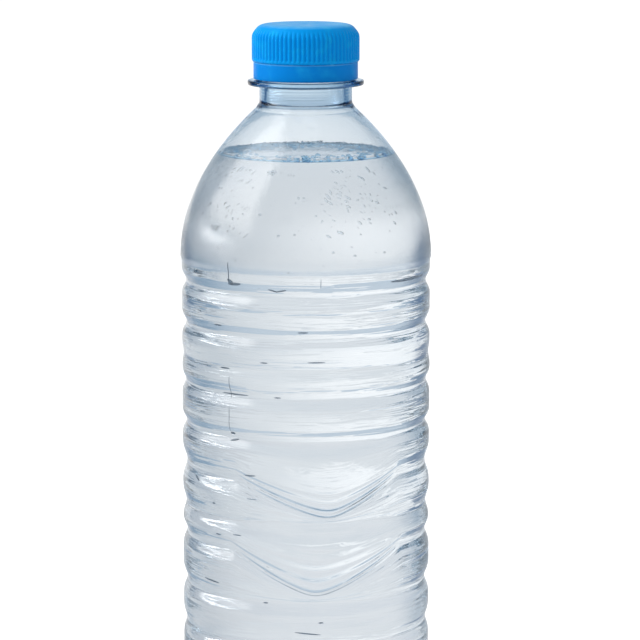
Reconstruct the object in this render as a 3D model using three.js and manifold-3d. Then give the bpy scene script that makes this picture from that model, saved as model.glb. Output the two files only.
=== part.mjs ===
// A clear, ribbed plastic water bottle, full and closed with a screw cap.
// Two V-shaped folds run across the front of its ribbed body.
// Sizes are in millimetres and angles in degrees. +Z is up, the bottle stands on z = 0,
// its axis is the Z axis and its front faces -Y. Angles round the bottle start at the front
// and grow towards +X.

import * as THREE from 'three';
import { mergeVertices } from 'three/addons/utils/BufferGeometryUtils.js';
import Module from 'manifold-3d';

const wasm = await Module();
wasm.setup();

// Fineness of the round surfaces
const columns = 32;
const threadStepsPerTurn = 24;

// Running clearance between two pieces
const clearance = 0.3;

// Body
const bodyRadius = 35.5;
const wall = 0.35;
const heelRadius = 8.5;
const standingWidth = 5;
const pushUp = 4;

// Support ring, whose middle is the height that the neck and the ribs are measured from
const ringHeight = 229;
const ringRadius = 16.5;
const ringThickness = 1.4;
const ringEdge = 0.5;

// Shoulder, a smooth curve from the foot of the neck to the body, with heights below the ring
const shoulderStep = 0.3;
const shoulderEnd = 49.3;
const shoulderStart = 7.1;
const shoulderFlare = 3.3;
const shoulderFullness = 22.7;
const shoulderThickening = 8;
const shoulderRows = 8;

// Grooves that part the ribs: drop below the ring, depth and half of the width
const grooves = [
  { drop: 56.1, depth: 1.3, half: 4.4 },
  { drop: 68.0, depth: 1.3, half: 4.4 },
  { drop: 76.9, depth: 0.4, half: 4.4 },
  { drop: 84.8, depth: 1.1, half: 4.2 },
  { drop: 96.6, depth: 1.3, half: 4.2 },
  { drop: 108.3, depth: 1.3, half: 7.0 },
  { drop: 120.3, depth: 1.0, half: 6.0 },
  { drop: 128.6, depth: 1.2, half: 5.2 },
  { drop: 142.7, depth: 1.2, half: 5.6 },
  { drop: 154.8, depth: 0.9, half: 5.4 },
];
const plainGroovePitch = 11.9;
const plainGrooveDepth = 1.2;
const plainGrooveHalf = 5.0;
const grooveSharpness = 1.8;
const flankShare = 0.55;

// Folds: the groove that dips, by its place in the list above, where the V points and how wide
// its two arms are. Each one runs down into the next groove.
const folds = [
  { groove: 5, angle: 11, left: 46, right: 38 },
  { groove: 7, angle: 3, left: 42, right: 46 },
];
const foldReach = 0.86;
const foldTipSoftness = 0.12;

// Neck and its screw finish
const neckRadius = 13.15;
const neckFootDrop = 5.5;
const neckFootFillet = 0.4;
const neckFlare = 0.95;
const neckFootWall = 2.2;
const finishRadius = 12.45;
const finishHeight = 15;
const finishWall = 1.6;
const lipChamfer = 0.4;
const beadStand = 1.5;
const beadHeight = 3.3;
const beadThickness = 0.7;
const beadSlope = 1.0;

// Thread, with its crest and root widths along the axis
const threadPitch = 2.7;
const threadDepth = 1.25;
const threadRootWidth = 1.7;
const threadCrestWidth = 0.9;
const threadTurns = 1.8;
const threadTopDrop = 1.8;
const threadRunOut = 25;
const threadEndShare = 0.1;
const threadBite = 0.3;

// Cap
const capHeight = 16.5;
const capWall = 0.8;
const capTopThickness = 1.2;
const capEdgeWidth = 3.9;
const capEdgeHeight = 4.2;
const knurlCount = 72;
const knurlDepth = 0.45;
const knurlCrestShare = 0.4;
const knurlRunOut = 0.35;
const capThreadCrestWidth = 0.6;
const capThreadRootWidth = 1.25;
const capThreadTurns = 1.7;
const capThreadLead = 0.25;
const plugLength = 2.6;
const plugWall = 0.95;

// Tamper band, the loose ring under the cap
const bandHeight = 4.7;
const bandWall = 0.55;
const bandFlapGap = 0.85;
const bandFlapThickness = 1.0;

// Water, with its level below the ring
const waterDrop = 18.8;

const shoulderRadius = bodyRadius + shoulderStep;
const shoulderStartRadius = neckRadius + neckFlare;
const boreFootRadius = shoulderStartRadius - neckFootWall;
const boreRadius = finishRadius - finishWall;
const beadRadius = finishRadius + beadStand;
const standingRadius = bodyRadius - heelRadius;
const ringTop = ringHeight + ringThickness / 2;
const lipHeight = ringHeight + finishHeight;
const beadUnderside = ringHeight + beadHeight;
const bandBottom = ringTop + clearance;
const capBottom = bandBottom + bandHeight + clearance;
const capTop = ringHeight + capHeight;
const capBore = finishRadius + threadDepth + clearance;
const capRadius = capBore + capWall + knurlDepth;
const bandRadius = beadRadius + clearance + bandWall;
const bandFlapRadius = finishRadius + bandFlapGap;
const waterHeight = ringHeight - waterDrop;
const threadStart = lipHeight - threadTopDrop;
const threadTop = threadStart + threadRootWidth / 2;

function point(radius, height) {
  return new THREE.Vector2(radius, height);
}

// Points of an arc round (centreX, centreZ), from one angle to another.
function arcPoints(centreX, centreZ, radius, from, to, steps) {
  const points = [];
  for (let i = 0; i <= steps; i++) {
    const angle = THREE.MathUtils.degToRad(from + ((to - from) * i) / steps);
    points.push(point(centreX + radius * Math.cos(angle), centreZ + radius * Math.sin(angle)));
  }
  return points;
}

// Grooves from the lowest to the highest, with plain ones added down to the heel.
function allGrooves() {
  const lowest = heelRadius + plainGrooveHalf;
  const list = grooves.map((groove) => ({ ...groove, height: ringHeight - groove.drop }));
  let height = list[list.length - 1].height - plainGroovePitch;
  while (height > lowest) {
    list.push({ height, depth: plainGrooveDepth, half: plainGrooveHalf });
    height -= plainGroovePitch;
  }
  return list.filter((groove) => groove.height > lowest).reverse();
}

const ribGrooves = allGrooves();

// Outer radius of the ribbed wall at a height, before the folds are pressed in.
function ribbedRadius(height) {
  let radius = bodyRadius;
  for (const groove of ribGrooves) {
    const share = THREE.MathUtils.clamp((height - groove.height) / groove.half, -1, 1);
    const hollow = 0.5 + 0.5 * Math.cos(Math.PI * share);
    radius -= groove.depth * hollow ** grooveSharpness;
  }
  return radius;
}

// Heights at which the ribbed wall has a row of points. Only the outer wall needs the flanks.
function ribRows(withFlanks) {
  const rows = [];
  ribGrooves.forEach((groove, i) => {
    const flank = groove.half * flankShare;
    const across = withFlanks ? [-flank, 0, flank] : [0];
    across.forEach((step) => rows.push(groove.height + step));
    const above = ribGrooves[i + 1];
    if (above) {
      rows.push((groove.height + groove.half + above.height - above.half) / 2);
    }
  });
  return rows;
}

function ribPoints(inset, withFlanks) {
  return ribRows(withFlanks).map((height) => point(ribbedRadius(height) - inset, height));
}

// The shoulder's outer curve, from the body up to the neck.
const shoulderCurve = new THREE.CubicBezierCurve(
  point(shoulderRadius, ringHeight - shoulderEnd),
  point(shoulderRadius, ringHeight - shoulderEnd + shoulderFullness),
  point(shoulderStartRadius + shoulderFlare, ringHeight - shoulderStart - shoulderFlare),
  point(shoulderStartRadius, ringHeight - shoulderStart),
);

// Points of the shoulder from the body up to the neck. insetAt says how far inside the outer
// curve each one lies.
function shoulderPoints(rows, insetAt) {
  const points = [];
  for (let i = 0; i <= rows; i++) {
    const share = i / rows;
    const at = shoulderCurve.getPoint(share);
    const along = shoulderCurve.getTangent(share);
    const inset = insetAt(share);
    points.push(point(at.x - along.y * inset, at.y + along.x * inset));
  }
  return points;
}

function outerShoulder() {
  return shoulderPoints(shoulderRows, () => 0);
}

// The shoulder's wall thickens towards the neck. A gap puts the points clear of its inner face.
function innerShoulder(gap) {
  const neckWall = shoulderStartRadius - boreFootRadius;
  const insetAt = (share) => wall + (neckWall - wall) * share ** shoulderThickening + gap;
  return shoulderPoints(shoulderRows / 2, insetAt);
}

// Base from the axis out to the heel, lifted and inset by the given gap.
function basePoints(inset) {
  const inner = standingRadius - standingWidth;
  const pushUpCurve = new THREE.QuadraticBezierCurve(
    point(0, pushUp + inset),
    point(inner / 2, pushUp + inset),
    point(inner, inset),
  );
  const heel = arcPoints(standingRadius, heelRadius, heelRadius - inset, -90, 0, 4);
  return [...pushUpCurve.getPoints(3), ...heel];
}

// Outside of the neck, from the foot of the neck up to the lip.
function neckPoints() {
  const foot = ringHeight - neckFootDrop;
  const ringBottom = ringHeight - ringThickness / 2;
  return [
    point(neckRadius + neckFootFillet, foot - 2 * neckFootFillet),
    point(neckRadius, foot),
    point(neckRadius, ringBottom),
    point(ringRadius - ringEdge, ringBottom),
    point(ringRadius, ringHeight - ringEdge / 2),
    point(ringRadius, ringHeight + ringEdge / 2),
    point(ringRadius - ringEdge, ringTop),
    point(finishRadius, ringTop),
    point(finishRadius, beadUnderside),
    point(beadRadius, beadUnderside),
    point(beadRadius, beadUnderside + beadThickness),
    point(finishRadius, beadUnderside + beadThickness + beadSlope),
    point(finishRadius, lipHeight - lipChamfer),
    point(finishRadius - lipChamfer, lipHeight),
    point(boreRadius + lipChamfer / 2, lipHeight),
    point(boreRadius, lipHeight - lipChamfer / 2),
    point(boreRadius, ringBottom),
    point(boreFootRadius, ringHeight - shoulderStart),
  ];
}

// A lathed body about the Z axis. Its first column is at the front.
function lathe(points) {
  const geometry = new THREE.LatheGeometry(points, columns);
  geometry.rotateX(Math.PI / 2);
  return geometry;
}

// A V-shaped dip: 1 at its point, falling to 0 at the ends of its two arms.
function dipShare(fold, angle) {
  const offset = THREE.MathUtils.euclideanModulo(angle - fold.angle + 180, 360) - 180;
  const arm = offset < 0 ? fold.left : fold.right;
  const away = Math.hypot(offset / arm, foldTipSoftness);
  return Math.max(0, (1 - away) / (1 - foldTipSoftness));
}

// Presses one fold into a point of the wall: the groove dips, the rib above it grows taller and
// the rib below it is squeezed down to the bottom of the next groove.
function pressFold(fold, at) {
  const dipping = ringHeight - grooves[fold.groove].drop;
  const upper = ringHeight - grooves[fold.groove - 1].drop;
  const lower = ringHeight - grooves[fold.groove + 1].drop;
  if (at.height <= lower || at.height >= upper) return;
  const share = foldReach * dipShare(fold, at.angle);
  const dip = share * (dipping - lower);
  if (at.height >= dipping) {
    at.height -= (dip * (upper - at.height)) / (upper - dipping);
    return;
  }
  const floor = ribbedRadius(dipping) - ribbedRadius(at.height);
  at.radius += floor * share ** 2;
  at.height = lower + (at.height - lower) * (1 - share);
}

// Moves the points of a lathed wall so that it has both folds.
function foldWall(geometry) {
  const position = geometry.getAttribute('position');
  for (let i = 0; i < position.count; i++) {
    const x = position.getX(i);
    const y = position.getY(i);
    const at = {
      radius: Math.hypot(x, y),
      height: position.getZ(i),
      angle: THREE.MathUtils.radToDeg(Math.atan2(x, -y)),
    };
    folds.forEach((fold) => pressFold(fold, at));
    const turn = THREE.MathUtils.degToRad(at.angle);
    position.setXYZ(i, at.radius * Math.sin(turn), -at.radius * Math.cos(turn), at.height);
  }
  return geometry;
}

// A solid from a closed geometry, ready to be joined to others.
function solidFrom(geometry) {
  const bare = geometry.index ? geometry.toNonIndexed() : geometry.clone();
  bare.deleteAttribute('normal');
  bare.deleteAttribute('uv');
  const merged = mergeVertices(bare, 1e-4);
  return new wasm.Manifold(
    new wasm.Mesh({
      numProp: 3,
      vertProperties: merged.getAttribute('position').array,
      triVerts: new Uint32Array(merged.index.array),
    }),
  );
}

function geometryFrom(solid) {
  const mesh = solid.getMesh();
  const geometry = new THREE.BufferGeometry();
  geometry.setAttribute('position', new THREE.BufferAttribute(mesh.vertProperties, 3));
  geometry.setIndex(new THREE.BufferAttribute(mesh.triVerts, 1));
  geometry.computeVertexNormals();
  return geometry;
}

// A thread's section. Its x runs outwards from the surface that carries it, into which it bites,
// and its y runs up the axis. A depth below 0 makes an inside thread.
function threadSection({ depth, rootWidth, crestWidth }) {
  const bite = -Math.sign(depth) * threadBite;
  return new THREE.Shape([
    point(bite, -rootWidth / 2),
    point(0, -rootWidth / 2),
    point(depth, -crestWidth / 2),
    point(depth, crestWidth / 2),
    point(0, rootWidth / 2),
    point(bite, rootWidth / 2),
  ]);
}

// A right-hand thread: a straight bar is wound down round the axis, and its crest grows out of
// the surface at either end.
function threadSolid(thread) {
  const bar = new THREE.ExtrudeGeometry(threadSection(thread), {
    depth: thread.turns,
    steps: Math.round(thread.turns * threadStepsPerTurn),
    bevelEnabled: false,
  });
  const position = bar.getAttribute('position');
  const runOut = threadRunOut / 360;
  for (let i = 0; i < position.count; i++) {
    const along = position.getZ(i);
    const toEnd = Math.min(along, thread.turns - along);
    const growth = THREE.MathUtils.clamp(toEnd / runOut, threadEndShare, 1);
    const out = position.getX(i);
    const isCrest = out * thread.depth > 0;
    const reach = thread.radius + (isCrest ? out * growth : out);
    const turns = thread.startTurn + along;
    const angle = -2 * Math.PI * turns;
    const height = thread.height + position.getY(i) - threadPitch * turns;
    position.setXYZ(i, reach * Math.cos(angle), reach * Math.sin(angle), height);
  }
  return solidFrom(bar);
}

function bottleGeometry() {
  const outer = [
    ...basePoints(0),
    ...ribPoints(0, true),
    ...outerShoulder(),
    ...neckPoints(),
  ];
  const inner = [
    ...basePoints(wall),
    ...ribPoints(wall, false),
    ...innerShoulder(0),
  ];
  inner.pop();
  const body = solidFrom(foldWall(lathe([...outer, ...inner.reverse()])));
  const thread = threadSolid({
    depth: threadDepth,
    rootWidth: threadRootWidth,
    crestWidth: threadCrestWidth,
    radius: finishRadius,
    height: threadStart,
    startTurn: 0,
    turns: threadTurns,
  });
  return geometryFrom(body.add(thread));
}

// The water fills the bottle up to a flat level in the shoulder.
function waterGeometry() {
  const inset = wall + clearance;
  const side = cutAtLevel(innerShoulder(clearance), waterHeight);
  const outline = [...basePoints(inset), ...ribPoints(inset, false), ...side];
  return foldWall(lathe([...outline, point(0, waterHeight)]));
}

// The part of a rising outline that lies below a level, ended on the level itself.
function cutAtLevel(points, level) {
  const above = points.findIndex((at) => at.y >= level);
  const low = points[above - 1];
  const high = points[above];
  const share = (level - low.y) / (high.y - low.y);
  return [...points.slice(0, above), low.clone().lerp(high, share)];
}

// Outline of the knurled ring, one tooth after another, with a round hole in the middle.
function knurlShape(rootRadius, holeRadius) {
  const outline = [];
  for (let i = 0; i < knurlCount; i++) {
    const flank = (1 - knurlCrestShare) / 2;
    const tooth = [
      [0, rootRadius],
      [flank, capRadius],
      [1 - flank, capRadius],
    ];
    for (const [step, radius] of tooth) {
      const turn = (2 * Math.PI * (i + step)) / knurlCount;
      outline.push(point(radius * Math.cos(turn), radius * Math.sin(turn)));
    }
  }
  const shape = new THREE.Shape(outline);
  const hole = [];
  for (let i = 0; i < columns; i++) {
    const turn = (-2 * Math.PI * i) / columns;
    hole.push(point(holeRadius * Math.cos(turn), holeRadius * Math.sin(turn)));
  }
  shape.holes.push(new THREE.Path(hole));
  return shape;
}

// The knurled ring, whose teeth run out towards the rounded top edge.
function knurlSolid(rootRadius, height) {
  const ring = new THREE.ExtrudeGeometry(knurlShape(rootRadius, capBore + clearance), {
    depth: height,
    steps: 1,
    bevelEnabled: false,
  });
  const position = ring.getAttribute('position');
  for (let i = 0; i < position.count; i++) {
    const x = position.getX(i);
    const y = position.getY(i);
    const radius = Math.hypot(x, y);
    if (position.getZ(i) < height / 2 || radius < rootRadius - clearance / 2) continue;
    const share = (radius - knurlRunOut) / radius;
    position.setXYZ(i, x * share, y * share, position.getZ(i));
  }
  ring.translate(0, 0, capBottom);
  return solidFrom(ring);
}

function capGeometry() {
  const rootRadius = capRadius - knurlDepth;
  const edgeRadius = rootRadius - capEdgeWidth;
  const edgeFoot = capTop - capEdgeHeight;
  const underTop = capTop - capTopThickness;
  const plugRadius = boreRadius - clearance;
  const edge = new THREE.QuadraticBezierCurve(
    point(rootRadius, edgeFoot),
    point(rootRadius, capTop),
    point(edgeRadius, capTop),
  );
  const outline = [
    point(capBore, capBottom),
    point(rootRadius, capBottom),
    ...edge.getPoints(5),
    point(0, capTop),
    point(0, underTop),
    point(plugRadius - plugWall, underTop),
    point(plugRadius - plugWall, underTop - plugLength),
    point(plugRadius - clearance, underTop - plugLength),
    point(plugRadius, underTop - plugLength + 2 * clearance),
    point(plugRadius, underTop),
    point(finishRadius + clearance, underTop),
    point(capBore, threadTop + clearance),
    point(capBore, capBottom),
  ];
  const shell = solidFrom(lathe(outline));
  const knurls = knurlSolid(rootRadius, edgeFoot + knurlRunOut - capBottom);
  const thread = threadSolid({
    depth: finishRadius + clearance - capBore,
    rootWidth: capThreadRootWidth,
    crestWidth: capThreadCrestWidth,
    radius: capBore,
    height: threadStart - threadPitch / 2,
    startTurn: capThreadLead,
    turns: capThreadTurns,
  });
  return geometryFrom(shell.add(knurls).add(thread));
}

function bandGeometry() {
  const innerRadius = beadRadius + clearance;
  const flapTop = beadUnderside - clearance;
  const flapBottom = flapTop - bandFlapThickness;
  const top = bandBottom + bandHeight;
  return lathe([
    point(innerRadius, bandBottom),
    point(bandRadius, bandBottom),
    point(bandRadius, top),
    point(innerRadius, top),
    point(innerRadius, flapTop),
    point(bandFlapRadius, flapTop),
    point(bandFlapRadius, flapTop - bandFlapThickness / 2),
    point(innerRadius, flapBottom),
    point(innerRadius, bandBottom),
  ]);
}

// Finishes
const clearPlastic = new THREE.MeshStandardMaterial({
  color: 0xd9e8f4,
  roughness: 0.06,
  metalness: 0,
  transparent: true,
  opacity: 0.3,
});
const clearWater = new THREE.MeshStandardMaterial({
  color: 0xe4eff7,
  roughness: 0.02,
  metalness: 0,
  transparent: true,
  opacity: 0.35,
});
const bluePlastic = new THREE.MeshStandardMaterial({
  color: 0x0d8fe6,
  roughness: 0.4,
  metalness: 0,
});

function piece(name, geometry, material) {
  const mesh = new THREE.Mesh(geometry, material);
  mesh.name = name;
  return mesh;
}

const bottle = new THREE.Group();
bottle.add(
  piece('bottle', bottleGeometry(), clearPlastic),
  piece('water', waterGeometry(), clearWater),
);

const closure = new THREE.Group();
closure.add(
  piece('tamper_band', bandGeometry(), bluePlastic),
  piece('cap', capGeometry(), bluePlastic),
);

const waterBottle = new THREE.Group();
waterBottle.add(bottle, closure);

export default waterBottle;
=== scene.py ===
import random
from math import atan2, cos, hypot, pi, radians, sin

import bmesh
import bpy
from bpy.props import FloatProperty, FloatVectorProperty, IntProperty, PointerProperty
from bpy.types import Operator, Panel, PropertyGroup
from mathutils import Matrix, Vector, noise


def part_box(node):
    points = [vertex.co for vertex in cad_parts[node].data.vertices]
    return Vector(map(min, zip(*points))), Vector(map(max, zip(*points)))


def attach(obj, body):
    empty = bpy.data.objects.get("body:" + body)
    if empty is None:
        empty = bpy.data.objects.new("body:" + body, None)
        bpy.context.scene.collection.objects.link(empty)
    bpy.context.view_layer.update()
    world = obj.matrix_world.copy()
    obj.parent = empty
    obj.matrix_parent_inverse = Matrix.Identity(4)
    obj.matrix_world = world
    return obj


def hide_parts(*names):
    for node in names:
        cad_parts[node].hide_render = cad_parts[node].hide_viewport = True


bl_info = {
    "name": "Clear Water Bottle",
    "version": (1, 0, 0),
    "blender": (4, 5, 0),
    "location": "View3D > Sidebar > Water Bottle",
    "description": "Models a full, ribbed plastic water bottle with a screw cap, and its studio",
    "category": "Add Mesh",
}

# The bottle stands on z = 0 with its axis on Z, and its front faces -Y. Angles round it start at
# the front and grow towards +X.
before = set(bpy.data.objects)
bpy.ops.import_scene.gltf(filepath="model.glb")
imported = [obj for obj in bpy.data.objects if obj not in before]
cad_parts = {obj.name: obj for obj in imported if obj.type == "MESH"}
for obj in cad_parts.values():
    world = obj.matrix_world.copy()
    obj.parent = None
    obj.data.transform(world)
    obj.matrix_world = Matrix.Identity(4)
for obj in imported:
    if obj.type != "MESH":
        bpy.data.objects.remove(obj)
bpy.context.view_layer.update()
BOTTLE_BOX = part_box("bottle")
WATER_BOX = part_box("water")
BAND_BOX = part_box("tamper_band")
CAP_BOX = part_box("cap")

MM = 0.001

FINISH_HEIGHT = 0.015
# How far inside the neck's radius a point may lie and still carry the thread
THREAD_SEAT = 0.0004
# The shoulder's length along its curve, and how much taller the rows inside the wall are
SHOULDER_RUN = 0.055
INNER_ROW = 1.35
# Rows of the neck, where it has a thread or faint rings and where it is plain
FINE_ROW = 0.00025
PLAIN_ROW = 0.0012
# Roundings of moulded edges
CRISP = 0.0002
EDGE = 0.0003
SOFT = 0.0004

# Grooves that part the ribs: drop below the support ring, depth and half of the width
GROOVES = (
    (0.0561, 0.0013, 0.0044),
    (0.0680, 0.0013, 0.0044),
    (0.0769, 0.0004, 0.0044),
    (0.0848, 0.0011, 0.0042),
    (0.0966, 0.0013, 0.0042),
    (0.1083, 0.0013, 0.0070),
    (0.1203, 0.0010, 0.0060),
    (0.1286, 0.0012, 0.0052),
    (0.1427, 0.0012, 0.0056),
    (0.1548, 0.0009, 0.0054),
)
# Folds: the groove that dips, where the V points and how wide its two arms are
FOLDS = (
    (5, radians(11), radians(46), radians(38)),
    (7, radians(5), radians(42), radians(46)),
)
# Painted shade: dark slivers in the wall where small creases, dents and scuffs look dark: angle,
# height and length, width in mm, tilt
CREASE_SHADES = (
    (-37, 178.4, 6.4, 0.36, 90),
    (-34, 175.6, 4.4, 0.80, 4),
    (-36, 176.2, 2.4, 1.00, -30),
    (-15, 174.3, 2.8, 0.45, -16),
    (-11, 174.3, 3.0, 0.45, 12),
    (7, 176.5, 2.8, 0.20, 90),
    (56, 175.7, 17.0, 0.90, 0),
    (-60, 177.6, 1.6, 0.60, 0),
    (-44, 163.5, 3.0, 0.50, 0),
    (-1, 162.8, 3.0, 0.40, 0),
    (-19, 154.1, 2.2, 0.35, 0),
    (5, 154.5, 5.0, 0.35, 0),
    (-40, 151.6, 3.5, 0.45, 0),
    (-37, 146.3, 6.6, 0.22, 90),
    (-37, 137.2, 7.6, 0.20, 90),
    (-35, 144.4, 9.0, 0.40, 0),
    (-13, 144.3, 2.0, 0.35, 0),
    (-36, 133.3, 1.6, 0.70, 0),
    (-35, 131.4, 3.0, 0.50, 12),
    (-27, 121.8, 4.0, 0.40, 0),
    (-62, 118.0, 3.4, 0.50, -20),
    (-25, 115.3, 3.2, 0.35, 0),
    (-47, 112.5, 1.2, 0.60, 0),
    (-44, 103.8, 2.2, 0.40, 0),
    (-33, 104.5, 2.8, 0.35, 0),
    (-49, 89.9, 6.5, 0.50, -4),
    (-19, 85.7, 1.4, 0.40, 0),
    (7, 80.6, 1.5, 0.40, 0),
    (1, 77.5, 7.5, 0.40, -6),
)
MARK_DEPTH = 0.3
# Swarms of air bubbles on the wall: angle, height, spread of both, number, stretch, tilt
SWARMS = (
    (18, 197, 6, 5.0, 40, 3.2, -42),
    (36, 199, 9, 6.0, 30, 2.6, -38),
    (-40, 198, 8, 8.0, 40, 4.0, 50),
    (-56, 199, 6, 8.0, 18, 1.2, 0),
    (-9, 197, 11, 6.0, 14, 1.2, 0),
    (0, 187, 26, 6.0, 22, 1.5, -20),
    (180, 193, 60, 9.0, 60, 1.4, 0),
)

STUDIO_MIDDLE = (0.0, 0.0, 0.17)
SOFTBOX_PLACE = (-0.92, -0.08, 0.94)
WHITE = (1, 1, 1)
FLOOR_COLOUR = (0.8, 0.8, 0.8)
AMBIENCE = (0.23, 0.34, 0.46)
# What stands round the bottle, as glass and gloss see it. Each panel covers those before it: name,
# azimuth from straight behind towards +X, half width and softness of its sides, elevation, half
# height and softness of its top and foot, all in degrees, and its light.
PANELS = (
    ("floor", 0, 180, 8, -60, 38, 6, (0.62, 0.64, 0.67)),
    ("lit floor", -30, 42, 16, -60, 42, 4, (0.83, 0.84, 0.86)),
    ("floor shade", -52, 22, 12, -32, 9, 3, (0.46, 0.53, 0.60)),
    ("near wall", 180, 90, 5, -10, 11, 2, (0.70, 0.73, 0.76)),
    ("far wall", 0, 90, 5, -10, 11, 2, (0.63, 0.66, 0.69)),
    ("white backdrop", -27, 32, 20, -10, 11, 2, (1.10, 1.10, 1.10)),
    ("backdrop foot", -6, 24, 10, -19, 5, 2, (0.80, 0.82, 0.84)),
    ("upper wall", -8, 30, 16, 9, 8, 1.5, (0.60, 0.68, 0.76)),
    ("left flag", -64, 23, 8, -1, 9, 2, (0.02, 0.08, 0.20)),
    ("left upper flag", -62, 26, 8, 5, 7, 1.5, (0.09, 0.17, 0.30)),
    ("right flag", 63, 17, 8, 0, 9, 2, (0.07, 0.16, 0.30)),
    ("softbox", -95, 29, 7, 42, 27, 5, (2.6, 2.6, 2.6)),
    ("bright strip", -88, 20, 14, 6.5, 1.7, 0.8, (12.0, 12.0, 12.0)),
)


def number(description, default, **values):
    return FloatProperty(description=description, default=default, min=0.0, **values)


def length(description, default):
    return number(description, default, unit="LENGTH", subtype="DISTANCE", precision=5)


def whole(description, default, least=0):
    return IntProperty(description=description, default=default, min=least)


def colour(description, default):
    return FloatVectorProperty(description=description, default=default, subtype="COLOR",
                               size=3, min=0.0, max=1.0)


def named(group):
    """Names every property of a group after its key."""
    for key, made in group.__annotations__.items():
        made.keywords["name"] = key.replace("_", " ").capitalize()
    return group


@named
class BottleSizes(PropertyGroup):
    """Sizes of the blown bottle"""
    body_radius: length("Radius of the ribs", 0.0355)
    wall: length("Thickness of the body's wall", 0.00035)
    heel_radius: length("Rounding at the foot of the body", 0.0085)
    standing_width: length("Width of the ring it stands on", 0.005)
    push_up: length("Lift of the middle of the base", 0.004)
    ring_height: length("Height of the support ring's middle", BOTTLE_BOX[1].z - FINISH_HEIGHT)
    ring_radius: length("Radius of the support ring", 0.0165)
    ring_thickness: length("Thickness of the ring", 0.0014)
    ring_edge: length("Rounding of the ring's edge", 0.0005)
    shoulder_radius: length("Radius at the foot of the shoulder", BOTTLE_BOX[1].x)
    shoulder_end: length("Drop from the ring to the shoulder's foot", 0.0493)
    shoulder_start: length("Drop from the ring to the shoulder's top", 0.0071)
    shoulder_flare: length("How the shoulder leaves the neck", 0.0033)
    shoulder_fullness: length("How full the shoulder is", 0.0227)
    neck_flare: length("Step from the neck to the shoulder's top", 0.00095)
    shoulder_wall: length("Wall at the top of the shoulder", 0.0009)
    neck_wall: length("Wall at the foot of the neck", 0.0010)
    neck_wall_run: number("How late the wall thickens to the neck's", 60.0)
    neck_rings: length("Height of the faint rings on the neck", 0.00003)
    neck_ring_pitch: length("Pitch of those rings", 0.0009)
    neck_radius: length("Radius under the support ring", 0.01315)
    neck_foot_drop: length("Drop from the ring to the neck's foot", 0.0055)
    finish_radius: length("Radius that carries the thread", 0.01245)
    finish_height: length("Height of the lip above the ring", FINISH_HEIGHT)
    finish_wall: length("Wall of the threaded neck", 0.0016)
    bead_stand: length("Stand of the tamper bead", 0.0015)
    bead_height: length("Its height above the ring", 0.0033)
    bead_thickness: length("Thickness of its edge", 0.0007)
    bead_slope: length("Height of the slope above it", 0.001)
    thread_pitch: length("Rise of the thread in one turn", 0.0027)
    thread_depth: length("Depth of the thread", 0.00125)
    thread_root: length("Its width at the root", 0.0017)
    thread_crest: length("Its width at the crest", 0.0009)
    thread_drop: length("Drop from the lip to the thread's start", 0.0018)
    thread_turns: number("Number of its turns", 1.8)
    thread_run_out: number("Turns over which it fades", 25 / 360)
    groove_pitch: length("Pitch of the lowest grooves", 0.0119)
    groove_depth: length("Their depth", 0.0012)
    groove_half: length("Half of their width", 0.005)
    groove_sharpness: number("How sharply the grooves are cut", 1.8)
    fold_reach: number("How near a fold comes to the groove below it", 0.86)
    fold_softness: number("How round the V's point is", 0.16)
    crease_depth: length("Depth of the lines above a fold", 0.00024)
    crease_pitch: length("Distance between them", 0.0014)
    crease_spread: length("Where they fade", 0.0045)
    ripple: length("Unevenness of the blown wall", 0.00008)
    ripple_size: length("Width of one ripple", 0.011)
    ripple_flatness: number("Width of a ripple over its height", 1.6)
    ripple_calm: length("How far from the base and neck they begin", 0.01)
    sectors: whole("Equal sectors that it is spun in", 12, 3)
    columns: whole("Faces across one sector", 13, 2)
    row: length("Height of one row of faces", 0.0009)


@named
class WaterSizes(PropertyGroup):
    """Sizes of the water and of the air in it"""
    level: length("Height of the water", WATER_BOX[1].z)
    wetting: length("How far the water runs into the wall", 0.0001)
    meniscus: length("How far the water creeps up the wall", 0.0011)
    meniscus_width: length("How far from the wall it starts", 0.0022)
    rings: whole("Rings of faces across the water", 40, 2)
    wave: length("Height of the ripples on the water", 0.0003)
    long_wave: length("Width of the broad ripples", 1 / 180)
    short_wave: length("Width of the fine ripples", 1 / 420)
    foam_bubbles: whole("Number of floating bubbles", 240)
    rim_line: length("Thickness of the raised line at the wall", 0.0003)
    bubble_radius: length("Radius of a large bubble", 0.0006)
    bubble_drop: length("Least depth of a clinging bubble", 0.004)
    bubble_gap: length("Gap between a bubble and the wall", 0.0003)
    foam_spread: length("How far the foam spreads from the edge", 0.005)
    seed: whole("Where the bubbles lie", 11)


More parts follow.
